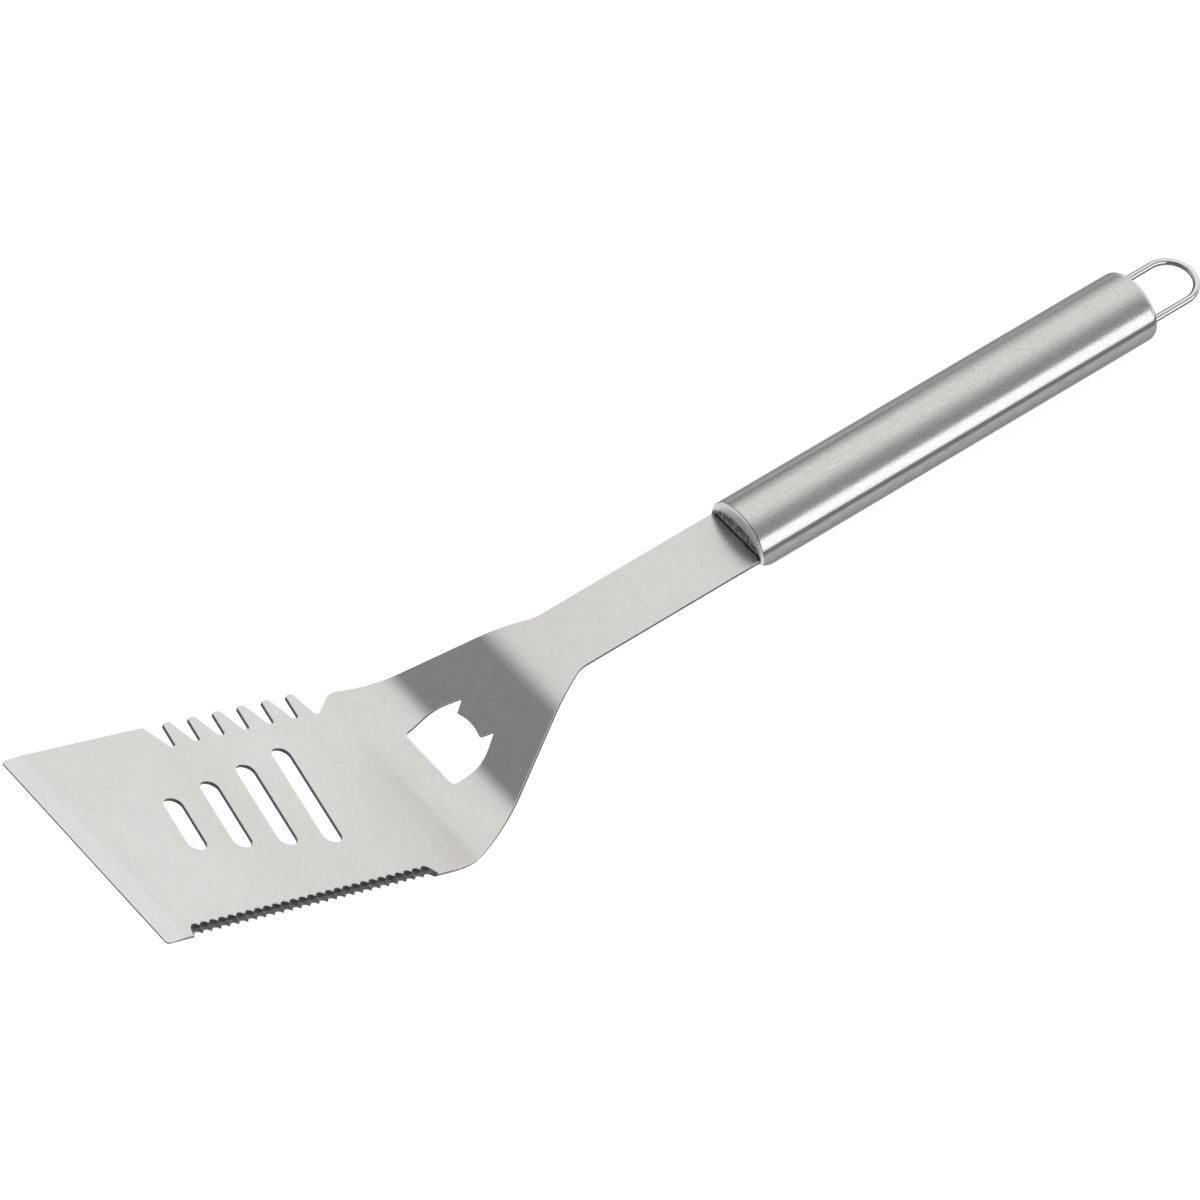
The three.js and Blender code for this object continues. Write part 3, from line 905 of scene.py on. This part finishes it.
def weld_steel():
    """The hidden weld beads: rippled, with straw and blue heat tint."""
    material, nodes, links, shader = new_material("weld_steel")
    vector = object_coordinates(nodes, links)
    tint = noise(nodes, links, vector, 320, 3, 0.6)
    ripple = noise(nodes, links, vector, 1500, 2, 0.5)
    base = ramp(nodes, links, tint, (0.46, 0.40, 0.32), (0.30, 0.33, 0.42), 0.35, 0.7)
    links.new(base, shader.inputs["Base Color"])
    links.new(ramp(nodes, links, ripple, 0.35, 0.6, 0.3, 0.7), shader.inputs["Roughness"])
    add_bump(nodes, links, shader, [(ripple, 0.5, 0.0002)])
    return material


def cut_steel():
    """Sheared edges: dull and finely scored, with a painted dark reflection in their colour. The
    scallops on the near edge get a less dark painted reflection.
    """
    material, nodes, links, shader = new_material("cut_steel")
    score_vector = object_coordinates(nodes, links, (1, 1, 0.15))
    score = noise(nodes, links, score_vector, 3000, 3, 0.65)
    # painted dark reflection on the cut walls
    dark = ramp(nodes, links, score, (0.035, 0.034, 0.033), (0.11, 0.108, 0.105), 0.3, 0.7)
    # a less dark painted reflection on the scallops of the near edge
    lighter_edge = ramp(nodes, links, score, (0.05, 0.049, 0.047), (0.34, 0.335, 0.325), 0.35, 0.65)
    axes = nodes.new("ShaderNodeSeparateXYZ")
    links.new(object_coordinates(nodes, links), axes.inputs["Vector"])
    edge = (SCALLOP_REACH - BLADE_WIDTH / 2) * MM
    near_edge = fade(nodes, links, axes.outputs["Y"], edge - MM, edge)
    base = mix_colors(nodes, links, near_edge, dark, lighter_edge)
    links.new(base, shader.inputs["Base Color"])
    links.new(ramp(nodes, links, score, 0.3, 0.5, 0.3, 0.7), shader.inputs["Roughness"])
    add_bump(nodes, links, shader, [(score, 0.25, 0.00006)])
    return material


# ---- the object ----------------------------------------------------------------------------------
def place(piece, materials, slot, *nodes):
    """Gives a piece its materials and body, and lets it stand for its CAD nodes; the slot is not
    used.
    """
    for material in materials:
        piece.data.materials.append(material)
    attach(piece, BODY)
    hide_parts(*nodes)


def build_object():
    """The visible pieces, and the look of the hidden welds, which stay the CAD model's own."""
    handle = brushed_steel()
    cut = cut_steel()
    satin = satin_steel("satin_steel", (0.72, 0.708, 0.695), (0.80, 0.792, 0.782))
    ground = satin_steel("ground_steel", (0.76, 0.757, 0.75), (0.85, 0.85, 0.845))
    place(sheet_piece(), [satin, cut, ground], "blade_steel", "blade_sheet")
    place(handle_tube(), [handle, lip_steel()], "handle_steel", "handle_tube")
    place(rear_cap(), [handle], "handle_steel", "rear_cap")
    place(front_cap(), [dull_steel(), cut], "cap_steel", "front_cap")
    place(hanging_loop(), [bright_chrome()], "loop_wire", "hanging_loop")
    weld = weld_steel()
    for name in ("tang_weld_upper", "tang_weld_lower", "loop_weld_left", "loop_weld_right"):
        node = frame["nodes"][name]
        node.data.materials.clear()
        node.data.materials.append(weld)


# ---- the studio ----------------------------------------------------------------------------------
def floor():
    """A plain pale floor under the object."""
    bm = bmesh.new()
    bmesh.ops.create_grid(bm, x_segments=8, y_segments=8, size=3.0)
    piece = finished_mesh(bm, "floor")
    material = bpy.data.materials.new("floor_paper")
    material.use_nodes = True
    tree = material.node_tree
    shader = next(n for n in tree.nodes if n.type == "BSDF_PRINCIPLED")
    vector = object_coordinates(tree.nodes, tree.links)
    fleck = noise(tree.nodes, tree.links, vector, 400, 2, 0.5)
    paper = ramp(tree.nodes, tree.links, fleck, 0.93, 0.95)
    tree.links.new(paper, shader.inputs["Base Color"])
    shader.inputs["Roughness"].default_value = 0.9
    shader.inputs["Emission Color"].default_value = (1, 1, 1, 1)
    shader.inputs["Emission Strength"].default_value = 0.7
    piece.data.materials.append(material)


def world():
    """A soft studio dome, dark high on the left and darker towards the front and back."""
    scene_world = bpy.data.worlds.new("studio")
    scene_world.use_nodes = True
    bpy.context.scene.world = scene_world
    nodes, links = scene_world.node_tree.nodes, scene_world.node_tree.links
    background = next(n for n in nodes if n.type == "BACKGROUND")
    source = nodes.new("ShaderNodeTexCoord")
    axes = nodes.new("ShaderNodeSeparateXYZ")
    links.new(source.outputs["Generated"], axes.inputs["Vector"])
    left = fade(nodes, links, axes.outputs["X"], -0.2, -0.465)
    low = fade(nodes, links, axes.outputs["Z"], 0.1, 0.5)
    patch = nodes.new("ShaderNodeMath")
    patch.operation = "MAXIMUM"
    links.new(left, patch.inputs[0])
    links.new(low, patch.inputs[1])
    near = fade(nodes, links, axes.outputs["Y"], 0.25, -0.5)
    far = fade(nodes, links, axes.outputs["Y"], 0.62, 0.95)
    sides = ramp(nodes, links, multiply(nodes, links, near, far), 0.36, 1.0)
    light = multiply(nodes, links, ramp(nodes, links, patch.outputs["Value"], 0.2, 1.0), sides)
    color = ramp(nodes, links, light, (0, 0, 0.02), (0.89, 0.88, 0.87))
    links.new(color, background.inputs["Color"])


def soft_box(centre, aim, size, radiance):
    """An even rectangular light at a point, turned to its aim."""
    data = bpy.data.lights.new("strip", "AREA")
    data.shape = "RECTANGLE"
    data.size, data.size_y = size
    data.energy = radiance * math.pi * size[0] * size[1]
    lamp = bpy.data.objects.new("strip", data)
    bpy.context.scene.collection.objects.link(lamp)
    lamp.location = centre
    lamp.rotation_mode = "QUATERNION"
    lamp.rotation_quaternion = (Vector(aim) - Vector(centre)).to_track_quat("-Z", "Y")


def lights():
    """A low soft box along the near side, which draws the bright line along the handle."""
    soft_box((1.0, -1.8, 0.55), (1.0, 0, 0.02), (3.0, 1.05), 1.12)


def camera():
    """A long lens from the near left and well above, rolled slightly."""
    data = bpy.data.cameras.new("camera")
    data.sensor_width = CAMERA_SENSOR
    data.lens = CAMERA_LENS
    data.clip_start = 0.1
    data.clip_end = 50
    piece = bpy.data.objects.new("camera", data)
    bpy.context.scene.collection.objects.link(piece)
    level = math.cos(CAMERA_ELEVATION)
    back = Vector((
        math.sin(CAMERA_AZIMUTH) * level,
        -math.cos(CAMERA_AZIMUTH) * level,
        math.sin(CAMERA_ELEVATION),
    ))
    piece.location = CAMERA_TARGET + back * CAMERA_DISTANCE
    piece.rotation_mode = "QUATERNION"
    roll = Quaternion((0, 0, 1), CAMERA_ROLL)
    piece.rotation_quaternion = (-back).to_track_quat("-Z", "Y") @ roll
    bpy.context.scene.camera = piece


def studio():
    floor()
    world()
    camera()
    lights()
    bpy.context.scene.view_settings.view_transform = "Standard"


build_object()
studio()
